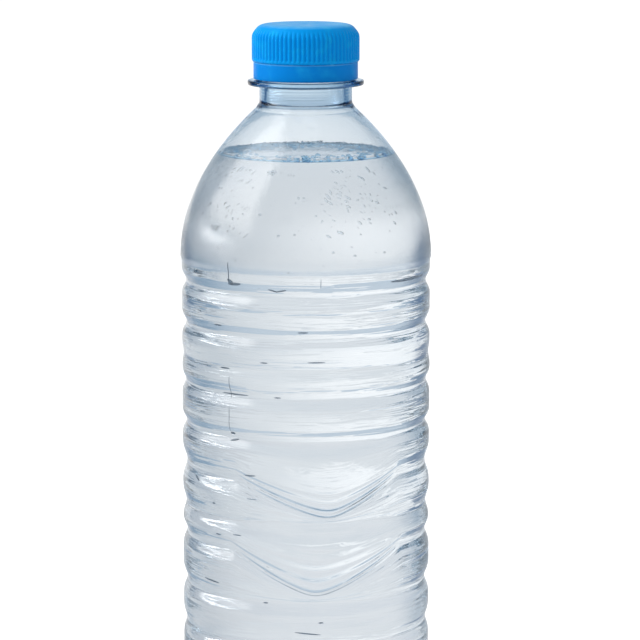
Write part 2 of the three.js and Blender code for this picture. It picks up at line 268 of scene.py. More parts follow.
@named
class ClosureSizes(PropertyGroup):
    """Sizes of the cap and the tamper band"""
    wall: length("Wall of the cap between its knurls", 0.0008)
    bore: length("Radius inside the cap", 0.014)
    top: length("Thickness of the cap's top", 0.0012)
    edge_width: length("Width of the rounded top edge", 0.0039)
    edge_height: length("Height of the rounded top edge", 0.0042)
    knurls: whole("Number of knurls", 72, 3)
    knurl_depth: length("Depth of the knurls", 0.00045)
    knurl_flatness: number("How flat their crests are", 1.55)
    knurl_drop: length("Drop from the cap's top to the knurls", 0.0014)
    knurl_run_out: length("Height over which they fade", 0.0016)
    rim_height: length("Plain rim under the knurls", 0.0008)
    plug_radius: length("Radius of the plug that seals the bore", 0.01055)
    plug_wall: length("Wall of the plug", 0.00095)
    plug_length: length("Length of the plug", 0.0026)
    bore_drop: length("Drop from the lip to the top of the bore", 0.00065)
    thread_depth: length("Depth of the inside thread", 0.00125)
    thread_root: length("Its width at the root", 0.00126)
    thread_crest: length("Its width at the crest", 0.0006)
    thread_turns: number("Number of its turns", 1.7)
    thread_lead: number("Turns before it starts", 0.25)
    thread_run_out: number("Turns over which it fades", 0.07)
    band_wall: length("Wall of the tamper band", 0.00055)
    band_lift: length("How far the gap over the band is closed", 0.00021)
    flap_reach: length("Reach of the flap under the bead", 0.00095)
    flap_thickness: length("Thickness of the flap", 0.001)
    flap_drop: length("Drop from the band's top to the flap", 0.0027)
    bridges: whole("Number of broken bridges", 16)
    bridge_width: length("Width of a broken bridge", 0.0011)
    bridge_height: length("Height of a broken bridge", 0.0003)
    # Heights of the painted highlight along the top edges of the cap and the band
    cap_highlight_height: length("Highlighted height of the cap's edge", 0.0008)
    band_highlight_height: length("Highlighted height of the band's edge", 0.0005)


@named
class Finishes(PropertyGroup):
    """Colours of the bottle"""
    plastic: colour("Tint of the clear plastic", (0.985, 0.988, 0.991))
    plastic_depth: colour("Colour seen through thick plastic", (0.10, 0.51, 0.77))
    plastic_density: number("How soon it colours", 120.0)
    shoulder_haze: number("Roughness at the foot of the shoulder", 0.26)
    wall_waves: length("Depth of the faint waves in the wall", 0.00009)
    water_waves: length("Depth of the waves on the water's side", 0.0002)
    water: colour("Tint of the water", (0.99, 0.993, 0.993))
    cap: colour("Colour of the cap", (0.0, 0.30, 0.80))
    cap_worn: colour("Colour of scuffs and dust on the cap", (0.005, 0.40, 0.82))
    # Painted shade: the band is the cap's plastic, and both its colours are darker than the cap's
    band: colour("Colour of the tamper band", (0.0, 0.22, 0.69))
    band_worn: colour("Colour of scuffs and dust on the band", (0.005, 0.30, 0.74))
    # Painted highlight: the paler colour along the top edges of the cap and the band
    highlighted: colour("Colour of the rubbed top edges", (0.15, 0.50, 0.80))


@named
class StageSettings(PropertyGroup):
    """The studio"""
    floor_size: length("Width of the floor", 24.0)
    floor_white: number("The floor's own light for the camera", 0.55)
    floor_glow: number("The floor's own light on matt surfaces", 0.1)
    focal: number("Focal length in millimetres", 177.19)
    sensor_width: number("Width of the sensor in millimetres", 36.0)
    clip_start: length("Nearest distance that the camera sees", 0.01)
    camera_distance: length("Distance in front of the axis", 0.891)
    camera_height: length("Height of the camera", 0.306)
    camera_side: length("Distance to the right of the axis", 0.00405)
    camera_pitch: number("How far the camera looks down", radians(9.26), subtype="ANGLE",
                         unit="ROTATION")
    fill: number("Strength of the light from all round", 0.64)
    key: number("Strength of the softbox on matt surfaces", 12.5)
    bounces: whole("How often light may turn in clear walls", 32, 1)
    softbox_width: length("Width of the softbox", 1.1)


GROUPS = {
    "bottle": BottleSizes,
    "water": WaterSizes,
    "closure": ClosureSizes,
    "finishes": Finishes,
    "studio": StageSettings,
}


def settings(name):
    return getattr(bpy.context.scene, "water_bottle_" + name)


# Outlines are lists of (radius, height)


def arc(centre, radius, start, end, steps):
    """Points of an arc round a centre, between two angles in degrees."""
    angles = [radians(start + (end - start) * i / steps) for i in range(steps + 1)]
    return [(centre[0] + radius * cos(a), centre[1] + radius * sin(a)) for a in angles]


def bezier(knots, steps):
    """Points of a Bezier curve with any number of knots."""
    points = []
    for i in range(steps + 1):
        t = i / steps
        layer = [Vector(k) for k in knots]
        while len(layer) > 1:
            layer = [a.lerp(b, t) for a, b in zip(layer, layer[1:])]
        points.append(tuple(layer[0]))
    return points


def rounded(corners, steps=3):
    """An outline from corners of (radius, height, rounding), each rounded by that much."""
    points = []
    for i, (radius, height, rounding) in enumerate(corners):
        corner = Vector((radius, height))
        if not rounding or i in (0, len(corners) - 1):
            points.append((radius, height))
            continue
        before = Vector(corners[i - 1][:2]) - corner
        after = Vector(corners[i + 1][:2]) - corner
        start = corner + before.normalized() * rounding
        end = corner + after.normalized() * rounding
        points += bezier([start, corner, end], steps)
    return points


def filled(points, step):
    """The same outline with more points, none further apart than a step."""
    result = [points[0]]
    for a, b in zip(points, points[1:]):
        count = max(1, round(hypot(b[0] - a[0], b[1] - a[1]) / step))
        result += [(a[0] + (b[0] - a[0]) * i / count, a[1] + (b[1] - a[1]) * i / count)
                   for i in range(1, count + 1)]
    return result


def shoulder_foot(s):
    return s.ring_height - s.shoulder_end


def shoulder_top(s):
    return s.ring_height - s.shoulder_start


def grooves(s):
    """(height, depth, half width) of every groove, with plain ones down to the heel."""
    found = [(s.ring_height - drop, depth, half) for drop, depth, half in GROOVES]
    height = found[-1][0] - s.groove_pitch
    while height > s.heel_radius + s.groove_half:
        found.append((height, s.groove_depth, s.groove_half))
        height -= s.groove_pitch
    return found


def ribbed_radius(s, height, cuts):
    """Outer radius of the ribbed wall, before the folds are pressed in."""
    radius = s.body_radius
    for middle, depth, half in cuts:
        away = min(1.0, abs(height - middle) / half)
        radius -= depth * (0.5 + 0.5 * cos(pi * away)) ** s.groove_sharpness
    return radius


def base_outline(s, inset):
    inner = s.body_radius - s.heel_radius - s.standing_width
    lift = s.push_up + inset
    dome = bezier([(0.0, lift), (inner / 2, lift), (inner, inset)], 12)
    heel = arc((s.body_radius - s.heel_radius, s.heel_radius), s.heel_radius - inset,
               -90, 0, 12)
    return dome + heel[:-1]


def rib_outline(s, inset, step):
    cuts = grooves(s)
    top = shoulder_foot(s)
    count = round((top - s.heel_radius) / step)
    heights = [s.heel_radius + (top - s.heel_radius) * i / count for i in range(count)]
    return [(ribbed_radius(s, h, cuts) - inset, h) for h in heights]


def shoulder_outline(s, inset, step):
    """The shoulder from the body up to the neck. inset says how far inside each point lies."""
    foot = shoulder_foot(s)
    top = shoulder_top(s)
    start = s.neck_radius + s.neck_flare
    curve = bezier([
        (s.shoulder_radius, foot),
        (s.shoulder_radius, foot + s.shoulder_fullness),
        (start + s.shoulder_flare, top - s.shoulder_flare),
        (start, top),
    ], round(SHOULDER_RUN / step))
    points = []
    for i, at in enumerate(curve):
        ahead = Vector(curve[min(i + 1, len(curve) - 1)])
        along = (ahead - Vector(curve[max(i - 1, 0)])).normalized()
        depth = inset(i / (len(curve) - 1))
        points.append((at[0] - along.y * depth, at[1] + along.x * depth))
    return points


def inner_shoulder(s, gap, step):
    """The inside of the shoulder, whose wall grows thicker towards the neck."""
    def depth(t):
        shoulder = s.wall + (s.shoulder_wall - s.wall) * t ** 2
        return shoulder + (s.neck_wall - s.shoulder_wall) * t ** s.neck_wall_run + gap
    return shoulder_outline(s, depth, step)


def neck_outline(s):
    """The outside of the neck from its foot up, over the lip and down the bore."""
    ring_bottom = s.ring_height - s.ring_thickness / 2
    ring_top = s.ring_height + s.ring_thickness / 2
    foot = s.ring_height - s.neck_foot_drop
    lip = s.ring_height + s.finish_height
    bead = s.ring_height + s.bead_height
    bead_radius = s.finish_radius + s.bead_stand
    thread_zone = bead + s.bead_thickness + s.bead_slope
    bore = s.finish_radius - s.finish_wall
    outside = rounded([
        (s.neck_radius + s.neck_flare, shoulder_top(s), 0),
        (s.neck_radius + 0.0003, foot - 0.0006, SOFT),
        (s.neck_radius, foot, SOFT),
        (s.neck_radius, ring_bottom, SOFT),
        (s.ring_radius, ring_bottom, s.ring_edge),
        (s.ring_radius, ring_top, s.ring_edge),
        (s.finish_radius, ring_top, EDGE),
        (s.finish_radius, bead, EDGE),
        (bead_radius, bead, CRISP),
        (bead_radius, bead + s.bead_thickness, CRISP),
        (s.finish_radius, thread_zone, SOFT),
        (s.finish_radius, lip, 0.0005),
        (bore, lip, EDGE),
        (bore, ring_bottom, 0.0015),
        (bore + 0.0004, foot, 0.0008),
        (s.neck_radius + s.neck_flare - s.neck_wall, shoulder_top(s), 0),
    ], 4)
    result = []
    for a, b in zip(outside, outside[1:]):
        outer = a[0] > s.finish_radius - 0.00001
        threaded = outer and min(a[1], b[1]) > thread_zone
        ringed = outer and foot <= a[1] and b[1] < ring_bottom
        points = filled([a, b], FINE_ROW if threaded or ringed else PLAIN_ROW)
        if ringed:
            turns = [2 * pi * (at[1] - foot) / s.neck_ring_pitch for at in points]
            points = [(at[0] + s.neck_rings * sin(t), at[1]) for at, t in zip(points, turns)]
        result += points[:-1]
    return result + [outside[-1]]


def spun(outline, sectors, columns, closed=False):
    """A surface of revolution about Z: an outline is spun through one sector, and copies of
    that sector go round the axis."""
    mesh = bmesh.new()
    verts = [mesh.verts.new((0.0, -radius, height)) for radius, height in outline]
    pairs = list(zip(verts, verts[1:])) + ([(verts[-1], verts[0])] if closed else [])
    edges = [mesh.edges.new(pair) for pair in pairs]
    sector = 2 * pi / sectors
    centre = {"cent": (0, 0, 0), "axis": (0, 0, 1), "dvec": (0, 0, 0)}
    bmesh.ops.spin(mesh, geom=verts + edges, angle=sector, steps=columns, **centre)
    bmesh.ops.spin(mesh, geom=mesh.verts[:] + mesh.edges[:] + mesh.faces[:],
                   angle=sector * (sectors - 1), steps=sectors - 1, use_duplicate=True, **centre)
    bmesh.ops.remove_doubles(mesh, verts=mesh.verts, dist=MM / 1000)
    bmesh.ops.recalc_face_normals(mesh, faces=mesh.faces)
    return mesh


def polar(vert):
    """How far a point is from the axis, its angle from the front towards +X and its height."""
    return hypot(vert.co.x, vert.co.y), atan2(vert.co.x, -vert.co.y), vert.co.z


def spot(radius, angle, height):
    return Vector((radius * sin(angle), -radius * cos(angle), height))


def dip_share(s, angle, fold):
    """A V-shaped dip: 1 at its point, falling to 0 at the ends of its two arms."""
    _, middle, left, right = fold
    offset = (angle - middle + pi) % (2 * pi) - pi
    away = hypot(offset / (left if offset < 0 else right), s.fold_softness)
    return max(0.0, (1 - away) / (1 - s.fold_softness))


def press_folds(s, mesh):
    """Presses both V-shaped folds into a wall, and notes on it how high each point was before
    and how much it is creased."""
    cuts = grooves(s)
    level = mesh.verts.layers.float.new("level")
    crease = mesh.verts.layers.float.new("crease")
    for vert in mesh.verts:
        vert[level] = vert.co.z
    for fold in FOLDS:
        dipping, upper, lower = (cuts[fold[0] + i][0] for i in (0, -1, 1))
        deepest = ribbed_radius(s, dipping, cuts)
        for vert in mesh.verts:
            radius, angle, height = polar(vert)
            if not lower < height < upper or radius < s.body_radius / 2:
                continue
            dip = dip_share(s, angle, fold)
            reach = s.fold_reach * dip
            away = height - dipping
            fading = 1 - abs(away) / (s.crease_spread if away > 0 else s.crease_pitch)
            vert[crease] = max(0.0, fading) * min(1.0, 2 * dip)
            if height >= dipping:
                height -= reach * (dipping - lower) * (upper - height) / (upper - dipping)
            else:
                radius += (deepest - ribbed_radius(s, height, cuts)) * reach
                height = lower + (height - lower) * (1 - reach)
            vert.co = spot(radius, angle, height)


def ripple(s, mesh):
    """The slight unevenness of a blown wall, the same on both of its sides."""
    top = shoulder_top(s)
    for vert in mesh.verts:
        radius, angle, height = polar(vert)
        if height > top or radius < s.body_radius / 3:
            continue
        up = height * s.ripple_flatness / s.body_radius
        wave = noise.noise(Vector((sin(angle), cos(angle), up)) * s.body_radius / s.ripple_size)
        calm = min(1.0, (top - height) / s.ripple_calm, height / s.ripple_calm)
        rippled = radius + wave * s.ripple * calm
        vert.co = spot(min(rippled, s.shoulder_radius), angle, height)


def thread_share(s, made, lead, drop, angle, height):
    """How far the thread of the neck or the cap stands out at a place, from 0 to 1."""
    start = s.ring_height + s.finish_height - s.thread_drop - drop
    turn = (-(angle - pi / 2) / (2 * pi)) % 1.0
    best = 0.0
    for along in (turn, turn + 1):
        away = abs(height - (start - s.thread_pitch * along))
        flank = (made.thread_root / 2 - away) / ((made.thread_root - made.thread_crest) / 2)
        ends = min(along - lead, made.thread_turns + lead - along) / made.thread_run_out
        best = max(best, min(1.0, max(0.0, flank)) * min(1.0, max(0.0, ends)))
    return best


def wind_thread(s, mesh):
    """Raises the thread from the wall of the neck."""
    lowest = s.ring_height + s.bead_height + s.bead_thickness + s.bead_slope
    for vert in mesh.verts:
        radius, angle, height = polar(vert)
        if height > lowest and radius > s.finish_radius - THREAD_SEAT:
            out = thread_share(s, s, 0, 0, angle, height) * s.thread_depth
            vert.co = spot(radius + out, angle, height)


def finished(mesh, name):
    """The finished mesh of a bmesh, which is freed."""
    data = bpy.data.meshes.new(name)
    mesh.to_mesh(data)
    mesh.free()
    return data


def piece_from(mesh, name, body, material, solid=None):
    """Makes a smooth piece that rides on a body of the bottle."""
    data = finished(mesh, name)
    data.polygons.foreach_set("use_smooth", [True] * len(data.polygons))
    data.materials.append(material)
    piece = scene_object(name, data)
    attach(piece, body)
    if solid:
        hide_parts(solid)


def scene_object(name, data):
    made = bpy.data.objects.new(name, data)
    bpy.context.scene.collection.objects.link(made)
    return made


# Materials


def node(tree, kind, *inputs, **values):
    """A shader's or a group's node, with its first inputs in order and its values by name.
    Names that start with in_ are inputs. Each input is a value or another node's output."""
    made = tree.nodes.new(kind if kind.startswith("Node") else "ShaderNode" + kind)
    named_inputs = {}
    for key, value in values.items():
        if key.startswith("in_"):
            named_inputs[key[3:].replace("_", " ")] = value
        else:
            setattr(made, key, value)
    fed = [*zip(made.inputs, inputs), *((made.inputs[k], v) for k, v in named_inputs.items())]
    for socket, value in fed:
        if isinstance(value, bpy.types.NodeSocket):
            tree.links.new(value, socket)
        else:
            socket.default_value = value
    return made


def rgba(colour):
    """A colour with its alpha. A node's output stays as it is."""
    return colour if isinstance(colour, bpy.types.NodeSocket) else (*colour, 1)


def arithmetic(tree, operation, *values):
    return node(tree, "Math", *values, operation=operation).outputs[0]


def remapped(tree, value, low, high, to_low, to_high, curve="LINEAR"):
    made = node(tree, "MapRange", value, low, high, to_low, to_high,
                interpolation_type=curve)
    return made.outputs["Result"]


def mixed(tree, factor, first, second, kind="RGBA"):
    made = node(tree, "Mix", data_type=kind, in_Factor=factor, in_A=first, in_B=second)
    return made.outputs["Result"]


def own_place(tree):
    """Where a point lies on its piece, in metres."""
    return node(tree, "TexCoord").outputs["Object"]


def own_value(tree, name):
    """A value that was noted on the mesh."""
    return node(tree, "Attribute", attribute_name=name).outputs["Fac"]


def own_noise(tree, scale, detail=3.0, stretch=(1, 1, 1), turn=(0, 0, 0), at=None):
    """Noise that stays on the piece, in features per metre."""
    mapping = node(tree, "Mapping", at or own_place(tree), in_Scale=stretch,
                   in_Rotation=turn)
    made = node(tree, "TexNoise", mapping.outputs[0], in_Scale=scale,
                in_Detail=detail)
    return made.outputs["Fac"]


def new_tree(owner):
    """The empty node tree of a material or a world."""
    owner.use_nodes = True
    owner.node_tree.nodes.clear()
    return owner.node_tree


def new_material(name, **values):
    """A material, its tree and its surface, whose inputs are given by name."""
    material = bpy.data.materials.new(name)
    tree = new_tree(material)
    surface = node(tree, "BsdfPrincipled", **values)
    node(tree, "OutputMaterial", surface.outputs[0])
    return material, tree, surface


def clear_material(name, ior, cloud_scale, tint, other_tint):
    """A clear material with a trace of cloudiness in its tint."""
    material, tree, surface = new_material(name, in_Transmission_Weight=1.0, in_IOR=ior,
                                           in_Roughness=0.0)
    cloudy = mixed(tree, own_noise(tree, cloud_scale), rgba(tint), rgba(other_tint))
    tree.links.new(cloudy, surface.inputs["Base Color"])
    return material, tree, surface


def bumped(tree, surface, value, strength, distance):
    made = node(tree, "Bump", in_Strength=strength, in_Distance=distance,
                in_Height=value)
    tree.links.new(made.outputs[0], surface.inputs["Normal"])


def wavy(tree, surface, depth):
    """Faint ripples of the blown wall: long round the bottle and short up it, slanting on the
    shoulder, and with the fine lines of the folds."""
    s = settings("bottle")
    foot = shoulder_foot(s)
    level = own_value(tree, "level")
    split = node(tree, "SeparateXYZ", own_place(tree))
    unfolded = node(tree, "CombineXYZ", split.outputs["X"], split.outputs["Y"], level)
    streaks = own_noise(tree, 95, 2.0, (0.3, 0.3, 5), at=unfolded.outputs[0])
    slanting = own_noise(tree, 140, 3.0, (4, 1, 1), (0, radians(38), 0))
    waves = mixed(tree, remapped(tree, level, foot - 0.005, foot, 0, 1), streaks,
                  remapped(tree, slanting, 0, 1, 0.25, 0.75), "FLOAT")
    pitted = arithmetic(tree, "MULTIPLY_ADD", own_noise(tree, 520, 2.0), 0.2, waves)
    turns = arithmetic(tree, "MULTIPLY", level, 2 * pi / s.crease_pitch)
    lines = arithmetic(tree, "MULTIPLY", arithmetic(tree, "SINE", turns),
                       own_value(tree, "crease"))
    creased = arithmetic(tree, "MULTIPLY_ADD", lines, s.crease_depth / depth / 2, pitted)
    bumped(tree, surface, creased, 1.0, depth)


def shoulder_haze(tree):
    """Roughness of the stretched plastic at the foot of the shoulder."""
    haze = settings("finishes").shoulder_haze
    foot = shoulder_foot(settings("bottle"))
    level = own_value(tree, "level")
    rising = remapped(tree, level, foot - 0.004, foot + 0.002, 0, haze)
    falling = remapped(tree, level, foot + 0.006, foot + 0.022, haze, 0)
    return arithmetic(tree, "MINIMUM", rising, falling)


def blown_plastic():
    """Blown clear plastic: blue where it is thick, with hazy scuffs."""
    finish = settings("finishes")
    material, tree, surface = clear_material("blown_plastic", 1.45, 60, finish.plastic,
                                             (0.99, 0.993, 0.996))
    scuffs = remapped(tree, own_noise(tree, 900, 4.0, (1, 1, 0.35)), 0.62, 0.8, 0, 0.12)
    tree.links.new(arithmetic(tree, "MAXIMUM", scuffs, shoulder_haze(tree)),
                   surface.inputs["Roughness"])
    wavy(tree, surface, finish.wall_waves)
    depth = node(tree, "VolumeAbsorption", in_Density=finish.plastic_density,
                 in_Color=rgba(finish.plastic_depth))
    tree.links.new(depth.outputs[0], tree.get_output_node("ALL").inputs["Volume"])
    return material


def still_water():
    finish = settings("finishes")
    material, tree, surface = clear_material("still_water", 1.333, 40, finish.water,
                                             (0.995, 0.998, 0.998))
    wavy(tree, surface, finish.water_waves)
    return material


def trapped_air():
    """Air seen from inside the water."""
    return clear_material("trapped_air", 0.75, 160, (1, 1, 1), (0.97, 0.985, 1.0))[0]


def bubble_film_painted_blue():
    """The wet skin of floating bubbles, tinted blue: a painted reflection that gives them and the
    line round the water blue edges.
    """
    return clear_material("bubble_film_painted_blue", 1.3, 300, (0.78, 0.91, 1.0), (0.5, 0.75, 0.9))[0]


def painted_crease_shade():
    """Painted shade: dark plastic that stands for the dark edge of a crease or a scuff in the
    clear wall.
    """
    material, tree, surface = new_material("painted_crease_shade", in_Transmission_Weight=0.75,
                                           in_Roughness=0.3)
    shade = mixed(tree, own_noise(tree, 700), (0.26, 0.35, 0.45, 1), (0.70, 0.78, 0.86, 1))
    tree.links.new(shade, surface.inputs["Base Color"])
    return material


def closure_plastic(part, top, rim):
    """Moulded satin plastic with faint flow marks, dust and scuffs, and a painted highlight that
    makes it paler near its top.
    """
    finish = settings("finishes")
    material, tree, surface = new_material(part + "_plastic", in_Specular_IOR_Level=0.06)
    wear = remapped(tree, own_noise(tree, 240, 5.0), 0.52, 0.78, 0, 1)
    height = node(tree, "SeparateXYZ", own_place(tree)).outputs["Z"]
    # Painted highlight: a patchy paler colour along the top edge
    near_top = remapped(tree, height, top - rim, top - rim / 4, 0, 1)
    patchy = remapped(tree, own_noise(tree, 190, 2.0), 0.3, 0.7, 0.3, 0.7)
    plain = mixed(tree, wear, rgba(getattr(finish, part)), rgba(getattr(finish, part + "_worn")))
    highlighted_colour = mixed(tree, arithmetic(tree, "MULTIPLY", near_top, patchy), plain,
                 rgba(finish.highlighted))
    gloss = remapped(tree, own_noise(tree, 500), 0.3, 0.7, 0.30, 0.44)
    tree.links.new(highlighted_colour, surface.inputs["Base Color"])
    tree.links.new(gloss, surface.inputs["Roughness"])
    bumped(tree, surface, own_noise(tree, 1800, 2.0), 0.12, 0.00008)
    return material


# Pieces


class WATERBOTTLE_OT_shell(Operator):
    """Blow the clear bottle with its ribs, folds, neck and thread"""
    bl_idname = "water_bottle.add_shell"
    bl_label = "Add Clear Bottle"

    def execute(self, context):
        s = settings("bottle")
        outer = base_outline(s, 0.0) + rib_outline(s, 0.0, s.row)
        outer += shoulder_outline(s, lambda t: 0.0, s.row)[:-1]
        inner = base_outline(s, s.wall) + rib_outline(s, s.wall, s.row * INNER_ROW)
        inner += inner_shoulder(s, 0.0, s.row * INNER_ROW)[:-1]
        mesh = spun(outer + neck_outline(s) + inner[::-1], s.sectors, s.columns)
        press_folds(s, mesh)
        ripple(s, mesh)
        wind_thread(s, mesh)
        piece_from(mesh, "bottle_shell", "bottle", blown_plastic(), "bottle")
        return {"FINISHED"}


def level_outline(s, w):
    """The water's outline from the middle of the base to the middle of its surface."""
    inset = s.wall - w.wetting
    outline = base_outline(s, inset) + rib_outline(s, inset, s.row * INNER_ROW)
    side = [at for at in inner_shoulder(s, -w.wetting, s.row) if at[1] < w.level]
    edge = side[-1][0]
    surface = []
    for i in range(w.rings + 1):
        radius = edge * (1 - i / w.rings)
        rise = w.meniscus * max(0.0, 1 - (edge - radius) / w.meniscus_width) ** 2
        surface.append((radius, w.level - w.meniscus + rise))
    side = [at for at in side if at[1] < surface[0][1] - MM / 5]
    return outline + side + surface


class WATERBOTTLE_OT_water(Operator):
    """Fill the bottle with water up to its level"""
    bl_idname = "water_bottle.add_water"
    bl_label = "Add Water"

    def execute(self, context):
        s = settings("bottle")
        w = settings("water")
        mesh = spun(level_outline(s, w), s.sectors, s.columns)
        press_folds(s, mesh)
        ripple(s, mesh)
        for vert in mesh.verts:
            if vert.co.z > w.level - w.meniscus - 0.00005:
                wave = noise.noise(Vector((vert.co.x, vert.co.y, 0)) / w.long_wave)
                wave += 0.5 * noise.noise(Vector((vert.co.x, vert.co.y, 0.1)) / w.short_wave)
                vert.co.z += (wave - 1) * w.wave / 2
        piece_from(mesh, "water_body", "bottle", still_water(), "water")
        return {"FINISHED"}


def inner_radius(s, height):
    """Radius inside the wall at a height in the ribs or the shoulder."""
    if height < shoulder_foot(s):
        return ribbed_radius(s, height, grooves(s)) - s.wall
    points = inner_shoulder(s, 0.0, s.row)
    for low, high in zip(points, points[1:]):
        if low[1] <= height <= high[1]:
            t = (height - low[1]) / (high[1] - low[1])
            return low[0] + (high[0] - low[0]) * t
    return points[-1][0]


def round_bubble():
    """One bubble of radius 1, which the others are copies of."""
    mesh = bmesh.new()
    bmesh.ops.create_uvsphere(mesh, u_segments=10, v_segments=6, radius=1.0)
    return finished(mesh, "bubble")


def add_bubble(mesh, bubble, centre, size, out, turn=Matrix()):
    """A copy of the bubble, stretched to its size, turned and flattened along a direction."""
    facing = out.to_track_quat("Z", "Y").to_matrix().to_4x4()
    copy = bubble.copy()
    copy.transform(Matrix.Translation(centre) @ facing @ turn @ Matrix.Diagonal((*size, 1.0)))
    mesh.from_mesh(copy)
    bpy.data.meshes.remove(copy)


def wall_bubbles(s, w, pick, bubble):
    """Small bubbles that cling to the inside of the shoulder, in swarms."""
    mesh = bmesh.new()
    for middle, mid_height, spread, spread_height, count, stretch, tilt in SWARMS:
        for _ in range(count):
            angle = radians(pick.gauss(middle, spread))
            height = min(w.level - w.bubble_drop, MM * pick.gauss(mid_height, spread_height))
            size = w.bubble_radius * (0.22 + 0.5 * pick.random() ** 2)
            radius = inner_radius(s, height) - 0.6 * size - w.bubble_gap
            slope = inner_radius(s, height + MM) - inner_radius(s, height - MM)
            out = spot(1.0, angle, -slope / (2 * MM)).normalized()
            long = size * pick.uniform(1.0, stretch)
            turn = Matrix.Rotation(radians(tilt) + pick.gauss(0, 0.25), 4, "Z")
            add_bubble(mesh, bubble, spot(radius, angle, height),
                       (long, size * 0.8, size * 0.6), out, turn)
    return mesh


def floating_foam(s, w, pick, bubble):
    """Bubbles that float on the water, most near its edge, and the raised line round it."""
    mesh = bmesh.new()
    surface = w.level - w.meniscus - w.wave / 2
    rim = inner_radius(s, surface)
    for _ in range(w.foam_bubbles):
        angle = radians(pick.choice((pick.gauss(25, 45), pick.uniform(-180, 180))))
        size = w.bubble_radius * pick.uniform(0.5, 1.5)
        radius = rim - size * 1.1 - abs(pick.gauss(0, w.foam_spread))
        add_bubble(mesh, bubble, spot(radius, angle, surface), (size, size, size * 0.7),
                   Vector((0, 0, 1)))
    line = arc((rim - w.rim_line, surface), w.rim_line, 0, 360, 8)[:-1]
    ring = spun(line, s.sectors, s.columns, closed=True)
    ripple(s, ring)
    data = finished(ring, "rim")
    mesh.from_mesh(data)
    bpy.data.meshes.remove(data)
    return mesh


class WATERBOTTLE_OT_bubbles(Operator):
    """Scatter small bubbles on the wall of the shoulder and foam on the water"""
    bl_idname = "water_bottle.add_bubbles"
    bl_label = "Add Bubbles"

    def execute(self, context):
        s = settings("bottle")
        w = settings("water")
        pick = random.Random(w.seed)
        bubble = round_bubble()
        mesh = wall_bubbles(s, w, pick, bubble)
        foam = floating_foam(s, w, pick, bubble)
        bpy.data.meshes.remove(bubble)
        # The foam's blue tint is a painted reflection
        piece_from(foam, "foam", "bottle", bubble_film_painted_blue())
        piece_from(mesh, "air_bubbles", "bottle", trapped_air())
        return {"FINISHED"}


class WATERBOTTLE_OT_crease_shade(Operator):
    """Lay dark slivers in the wall as painted shade of its creases: small dents, scuffs and
    stretches of the mould's seam
    """
    bl_idname = "water_bottle.add_marks"
    bl_label = "Add Creases"

    def execute(self, context):
        s = settings("bottle")
        mesh = bmesh.new()
        for angle, height, long, wide, tilt in CREASE_SHADES:
            size = Matrix.Diagonal((long * MM / 2, s.wall * MARK_DEPTH, wide * MM / 2, 1))
            turn = Matrix.Rotation(radians(-tilt), 4, "Y")
            made = bmesh.ops.create_uvsphere(mesh, u_segments=8, v_segments=12, radius=1.0,
                                             matrix=turn @ size @ Matrix.Rotation(pi / 2, 4, "Y"))
            for vert in made["verts"]:
                along, depth, up = vert.co
                level = height * MM + up
                radius = inner_radius(s, level) + s.wall / 2 - depth
                vert.co = spot(radius, radians(angle) + along / radius, level)
        # The slivers are painted shade, not marks in the plastic
        piece_from(mesh, "crease_shade_slivers", "bottle", painted_crease_shade())
        return {"FINISHED"}


def knurl_share(c, angle):
    """How far a knurl stands out at an angle, from 0 in a valley to 1 on a flat crest."""
    return min(1.0, c.knurl_flatness * (0.5 - 0.5 * cos(angle * c.knurls)))


def cap_outline(s, c, bottom, top):
    root = c.bore + c.wall
    under = top - c.top
    foot = top - c.edge_height
    wall = filled([(root, bottom), (root, foot)], 0.0004)
    edge = bezier([(root, foot), (root, top), (root - c.edge_width, top)], 14)
    outside = wall[1:-1] + edge + [(root - c.edge_width - 0.002, top), (0.0, top)]
    shoulder = s.ring_height + s.finish_height - c.bore_drop
    inside = rounded([
        (0.0, under, 0),
        (c.plug_radius - c.plug_wall, under, EDGE),
        (c.plug_radius - c.plug_wall, under - c.plug_length, CRISP),
        (c.plug_radius, under - c.plug_length, EDGE),
        (c.plug_radius, under, EDGE),
        (s.finish_radius + 0.0003, under, CRISP),
        (c.bore, shoulder, 0),
    ])
    bore = filled([(c.bore, shoulder), (c.bore, bottom)], 0.0003)
    return outside + inside[:-1] + bore + [(root, bottom)]


class WATERBOTTLE_OT_cap(Operator):
    """Mould the screw cap with its knurls, plug and inside thread"""
    bl_idname = "water_bottle.add_cap"
    bl_label = "Add Screw Cap"

    def execute(self, context):
        s = settings("bottle")
        c = settings("closure")
        bottom = CAP_BOX[0].z
        top = CAP_BOX[1].z
        mesh = spun(cap_outline(s, c, bottom, top), c.knurls, 8, closed=True)
        for vert in mesh.verts:
            radius, angle, height = polar(vert)
            if radius > c.bore + MM / 10:
                fade = min(1.0, max(0.0, (top - c.knurl_drop - height) / c.knurl_run_out))
                rim = 0.9 if height < bottom + c.rim_height else 0.0
                out = c.knurl_depth * max(knurl_share(c, angle) * fade, rim)
                round_off = min(1.0, (height - bottom) / EDGE + 0.4)
                vert.co = spot(radius + out * round_off, angle, height)
            elif abs(radius - c.bore) < 0.00002:
                share_in = thread_share(s, c, c.thread_lead, s.thread_pitch / 2, angle, height)
                vert.co = spot(radius - c.thread_depth * share_in, angle, height)
        plastic = closure_plastic("cap", top, c.cap_highlight_height)
        piece_from(mesh, "screw_cap", "cap", plastic, "cap")
        return {"FINISHED"}


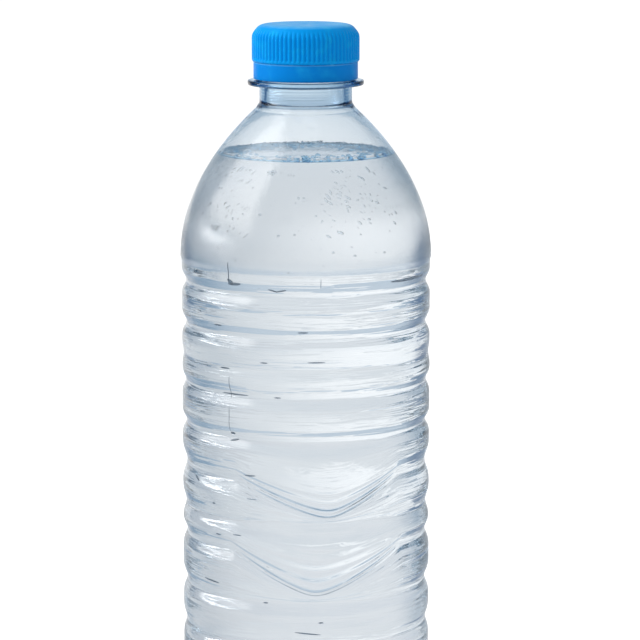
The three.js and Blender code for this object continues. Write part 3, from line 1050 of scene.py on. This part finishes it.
class WATERBOTTLE_OT_band(Operator):
    """Mould the tamper band with its flap and broken bridges"""
    bl_idname = "water_bottle.add_band"
    bl_label = "Add Tamper Band"

    def execute(self, context):
        c = settings("closure")
        bottom = BAND_BOX[0].z
        top = BAND_BOX[1].z + c.band_lift
        outer = BAND_BOX[1].x
        inner = outer - c.band_wall
        flap = top - c.flap_drop
        outline = rounded([
            (inner, top - 0.001, 0),
            (inner, flap, CRISP),
            (inner - c.flap_reach, flap, CRISP),
            (inner - c.flap_reach, flap - c.flap_thickness / 2, CRISP),
            (inner, flap - c.flap_thickness, CRISP),
            (inner, bottom, 0.0001),
            (outer, bottom, EDGE),
            (outer, top, EDGE),
            (inner, top, 0.0001),
            (inner, top - 0.001, 0),
        ])
        mesh = spun(filled(outline[:-1], 0.0007), 16, 12, closed=True)
        for i in range(c.bridges):
            angle = 2 * pi * (i + 0.35) / c.bridges
            turn = Matrix.Rotation(angle, 4, "Z")
            size = Matrix.Diagonal((c.bridge_width, c.band_wall * 0.8, c.bridge_height, 1))
            at = Matrix.Translation((0, -(outer - c.band_wall / 2), top + 0.00008))
            bmesh.ops.create_cube(mesh, size=1.0, matrix=turn @ at @ size)
        # The band's darker colours are painted shade
        plastic = closure_plastic("band", top, c.band_highlight_height)
        piece_from(mesh, "seal_band", "tamper_band", plastic, "tamper_band")
        return {"FINISHED"}


# Stage


def ray_kinds(tree, *kinds):
    """1 where a ray is of a kind, such as Is Camera Ray, or of either of two kinds."""
    path = node(tree, "LightPath")
    values = [path.outputs[kind] for kind in kinds]
    return arithmetic(tree, "MAXIMUM", *values) if len(values) > 1 else values[0]


def panel_share(tree, azimuth, elevation, panel):
    """1 where a direction meets a panel, fading to 0 past its soft edge."""
    shares = []
    for angle, (middle, half, soft) in ((azimuth, panel[1:4]), (elevation, panel[4:7])):
        away = arithmetic(tree, "SUBTRACT", angle, radians(middle))
        away = arithmetic(tree, "ABSOLUTE", arithmetic(tree, "WRAP", away, pi, -pi))
        shares.append(remapped(tree, away, radians(half - soft), radians(half + soft), 1, 0,
                               "SMOOTHSTEP"))
    return arithmetic(tree, "MULTIPLY", *shares)


def studio_group():
    """A node group that gives the light that comes from each direction round the bottle."""
    tree = bpy.data.node_groups.new("studio_light", "ShaderNodeTree")
    tree.interface.new_socket("Direction", in_out="INPUT", socket_type="NodeSocketVector")
    tree.interface.new_socket("Color", in_out="OUTPUT", socket_type="NodeSocketColor")
    entry = node(tree, "NodeGroupInput")
    unit = node(tree, "VectorMath", entry.outputs[0], operation="NORMALIZE")
    split = node(tree, "SeparateXYZ", unit.outputs[0])
    azimuth = arithmetic(tree, "ARCTAN2", split.outputs["X"], split.outputs["Y"])
    elevation = arithmetic(tree, "ARCSINE", split.outputs["Z"])
    seen = rgba(AMBIENCE)
    for panel in PANELS:
        seen = mixed(tree, panel_share(tree, azimuth, elevation, panel), seen, rgba(panel[-1]))
    node(tree, "NodeGroupOutput", seen)
    return tree


def studio_light(tree, group, direction):
    return node(tree, "Group", direction, node_tree=group).outputs[0]


def chosen(tree, factor, first, second):
    """One shader or the other."""
    return node(tree, "MixShader", factor, first.outputs[0], second.outputs[0])


def add_floor(studio, group):
    """A white floor, which glass and gloss see lit as the studio lights it."""
    mesh = bmesh.new()
    bmesh.ops.create_grid(mesh, x_segments=2, y_segments=2, size=studio.floor_size / 2)
    data = finished(mesh, "floor")
    scene_object("floor", data)
    material = bpy.data.materials.new("white_floor")
    tree = new_tree(material)
    matt = node(tree, "BsdfDiffuse", rgba(FLOOR_COLOUR))
    glow = node(tree, "Emission", in_Strength=remapped(
        tree, ray_kinds(tree, "Is Camera Ray"), 0, 1, studio.floor_glow, studio.floor_white))
    both = node(tree, "AddShader", matt.outputs[0], glow.outputs[0])
    position = node(tree, "NewGeometry").outputs["Position"]
    away = node(tree, "VectorMath", position, STUDIO_MIDDLE, operation="SUBTRACT")
    lit = node(tree, "Emission", studio_light(tree, group, away.outputs[0]))
    kinds = ray_kinds(tree, "Is Transmission Ray", "Is Glossy Ray")
    node(tree, "OutputMaterial", chosen(tree, kinds, both, lit).outputs[0])
    data.materials.append(material)


def add_world(studio, group):
    """White behind the bottle, plain soft light on matt surfaces, and the studio in glass."""
    world = bpy.data.worlds.new("studio")
    bpy.context.scene.world = world
    tree = new_tree(world)
    direction = node(tree, "TexCoord").outputs["Generated"]
    backdrop = node(tree, "Background", studio_light(tree, group, direction))
    white = node(tree, "Background", rgba(WHITE))
    fill = node(tree, "Background", rgba(WHITE), studio.fill)
    kinds = ray_kinds(tree, "Is Transmission Ray", "Is Glossy Ray")
    around = chosen(tree, kinds, fill, backdrop)
    final = chosen(tree, ray_kinds(tree, "Is Camera Ray"), around, white)
    node(tree, "OutputWorld", final.outputs[0])


def add_softbox(studio):
    """The softbox as matt surfaces see it. Glass and gloss see it in the studio's light."""
    data = bpy.data.lights.new("softbox", "AREA")
    data.shape = "SQUARE"
    data.size = studio.softbox_width
    data.energy = studio.key
    lamp = scene_object("softbox", data)
    lamp.location = SOFTBOX_PLACE
    towards = Vector(STUDIO_MIDDLE) - lamp.location
    lamp.rotation_euler = towards.to_track_quat("-Z", "Y").to_euler()
    lamp.visible_camera = False
    lamp.visible_glossy = False
    lamp.visible_transmission = False


def add_camera(studio):
    data = bpy.data.cameras.new("camera")
    data.sensor_width = studio.sensor_width
    data.lens = studio.focal
    data.clip_start = studio.clip_start
    camera = scene_object("camera", data)
    camera.location = (studio.camera_side, -studio.camera_distance, studio.camera_height)
    camera.rotation_euler = (pi / 2 - studio.camera_pitch, 0, 0)
    bpy.context.scene.camera = camera


class WATERBOTTLE_OT_stage(Operator):
    """Set up the white floor, the soft light and the camera"""
    bl_idname = "water_bottle.add_stage"
    bl_label = "Add Studio"

    def execute(self, context):
        studio = settings("studio")
        context.scene.view_settings.view_transform = "Standard"
        cycles = context.scene.cycles
        cycles.use_denoising = True
        cycles.max_bounces = cycles.transmission_bounces = cycles.glossy_bounces = studio.bounces
        group = studio_group()
        add_floor(studio, group)
        add_world(studio, group)
        add_softbox(studio)
        add_camera(studio)
        return {"FINISHED"}


OPERATORS = (
    WATERBOTTLE_OT_stage,
    WATERBOTTLE_OT_shell,
    WATERBOTTLE_OT_water,
    WATERBOTTLE_OT_bubbles,
    WATERBOTTLE_OT_crease_shade,
    WATERBOTTLE_OT_cap,
    WATERBOTTLE_OT_band,
)


class WATERBOTTLE_PT_panel(Panel):
    """Lists the pieces of the bottle"""
    bl_label = "Water Bottle"
    bl_idname = "WATERBOTTLE_PT_panel"
    bl_space_type = "VIEW_3D"
    bl_region_type = "UI"
    bl_category = "Water Bottle"

    def draw(self, context):
        for operator in OPERATORS:
            self.layout.operator(operator.bl_idname)
        for name, group in GROUPS.items():
            box = self.layout.box()
            box.label(text=group.__doc__)
            for key in group.__annotations__:
                box.prop(settings(name), key)


def register():
    for kind in (*GROUPS.values(), *OPERATORS, WATERBOTTLE_PT_panel):
        bpy.utils.register_class(kind)
    for name, group in GROUPS.items():
        setattr(bpy.types.Scene, "water_bottle_" + name, PointerProperty(type=group))


def unregister():
    for name in GROUPS:
        delattr(bpy.types.Scene, "water_bottle_" + name)
    for kind in (WATERBOTTLE_PT_panel, *OPERATORS, *GROUPS.values()):
        bpy.utils.unregister_class(kind)


def main():
    register()
    for operator in OPERATORS:
        family, name = operator.bl_idname.split(".")
        getattr(getattr(bpy.ops, family), name)()


if __name__ == "__main__":
    main()
